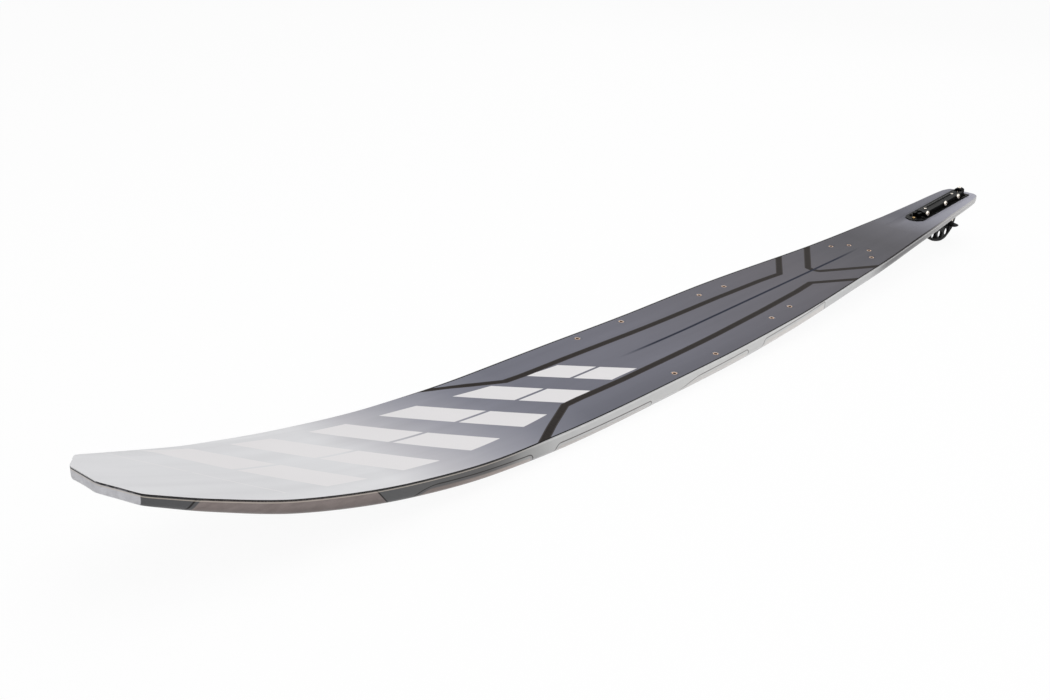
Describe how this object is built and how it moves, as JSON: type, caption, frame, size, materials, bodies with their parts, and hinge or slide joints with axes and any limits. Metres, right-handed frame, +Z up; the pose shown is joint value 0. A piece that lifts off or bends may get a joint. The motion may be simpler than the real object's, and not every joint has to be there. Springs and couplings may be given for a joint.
{
  "type": "slalom water ski",
  "caption": "Slalom water ski with a cupped base, threaded binding inserts, and a tail fin block that sets the fin's fore-and-aft place, depth and pitch and the wing's angle.",
  "frame": {"origin": "on the floor under the middle of the ski's box, with the ski standing on its fin and forebody", "axes": "+X towards the tip, +Y towards the rider's left, +Z up; the flat of the deck leans 2.1 degrees nose down"},
  "size_m": [1.7052, 0.18, 0.1218],
  "materials": {
    "printed_top_sheet": "satin printed film, pale at the tip to slate grey, with dark carbon stripes",
    "carbon_laminate": "cured carbon laminate",
    "foam_core": "closed-cell foam",
    "base_shell": "smooth silver-grey lacquer",
    "brass": "machined",
    "stainless": "turned",
    "blackened": "blackened",
    "anodised": "black anodised",
    "liner": "moulded"
  },
  "bodies": {
    "ski": {"top_sheet": "printed_top_sheet", "upper_laminate": "carbon_laminate", "core": "foam_core", "base_shell": "base_shell", "binding_insert_1_left": "brass", "binding_insert_1_right": "brass", "binding_insert_2_left": "brass", "binding_insert_2_right": "brass", "binding_insert_3_left": "brass", "binding_insert_3_right": "brass", "binding_insert_4_left": "brass", "binding_insert_4_right": "brass", "binding_insert_5_left": "brass", "binding_insert_5_right": "brass", "binding_insert_6_left": "brass", "binding_insert_6_right": "brass", "block_insert_1": "brass", "block_insert_2": "brass", "block_insert_3": "brass", "block_insert_4": "brass", "block_insert_5": "brass", "fin_block": "anodised", "block_screw_1": "brass", "block_screw_2": "blackened", "block_screw_3": "blackened", "block_screw_4": "blackened", "block_screw_5": "blackened", "tower_lock_screw": "stainless", "clamp_bar": "anodised", "rail_liner": "liner", "clamp_screw_1": "stainless", "clamp_screw_2": "stainless", "clamp_screw_3": "stainless"},
    "fore_aft_drive": {"fore_aft_screw": "stainless", "thrust_collar": "stainless"},
    "carriage": {"carriage": "anodised"},
    "rear_depth_drive": {"depth_screw_rear": "stainless"},
    "front_depth_drive": {"depth_screw_front": "stainless"},
    "depth_slider": {"depth_nut_front": "stainless"},
    "fin": {"fin_blade": "anodised", "depth_nut_rear": "stainless"},
    "wing": {"wing_left": "anodised", "wing_right": "anodised", "wing_screw_front": "stainless", "wing_screw_rear": "stainless", "wing_nut_front": "stainless", "wing_nut_rear": "stainless"}
  },
  "joints": [
    {"name": "fin_fore_aft", "type": "slide", "parent": "ski", "child": "carriage", "axis": [0.9963, 0, -0.0855], "range_m": [-0.004, 0.004]},
    {"name": "fore_aft_screw_turn", "type": "hinge", "parent": "ski", "child": "fore_aft_drive", "pos_m": [-0.83761, 0, 0.07902], "axis": [0.9963, 0, -0.0855], "range_deg": [-1801, 1801]},
    {"name": "fin_depth", "type": "slide", "parent": "carriage", "child": "depth_slider", "axis": [0.0855, 0, 0.9963], "range_m": [-0.003, 0.003]},
    {"name": "rear_depth_screw_turn", "type": "hinge", "parent": "carriage", "child": "rear_depth_drive", "pos_m": [-0.80382, 0, 0.07753], "axis": [0.0855, 0, 0.9963], "range_deg": [-1351, 1351]},
    {"name": "front_depth_screw_turn", "type": "hinge", "parent": "carriage", "child": "front_depth_drive", "pos_m": [-0.70618, 0, 0.06916], "axis": [0.0855, 0, 0.9963], "range_deg": [-1351, 1351]},
    {"name": "fin_pitch", "type": "hinge", "parent": "depth_slider", "child": "fin", "pos_m": [-0.70734, 0, 0.05561], "axis": [0, 1, 0], "range_deg": [-0.5, 0.5]},
    {"name": "wing_angle", "type": "hinge", "parent": "fin", "child": "wing", "pos_m": [-0.76748, 0, 0.03316], "axis": [0, 1, 0], "range_deg": [-4, 4]}
  ],
  "couplings": [
    {"joint": "fore_aft_screw_turn", "follows": "fin_fore_aft", "rad_per_m": -7854},
    {"joint": "rear_depth_screw_turn", "follows": "fin_depth", "rad_per_m": -7854},
    {"joint": "front_depth_screw_turn", "follows": "fin_depth", "rad_per_m": -7854}
  ]
}
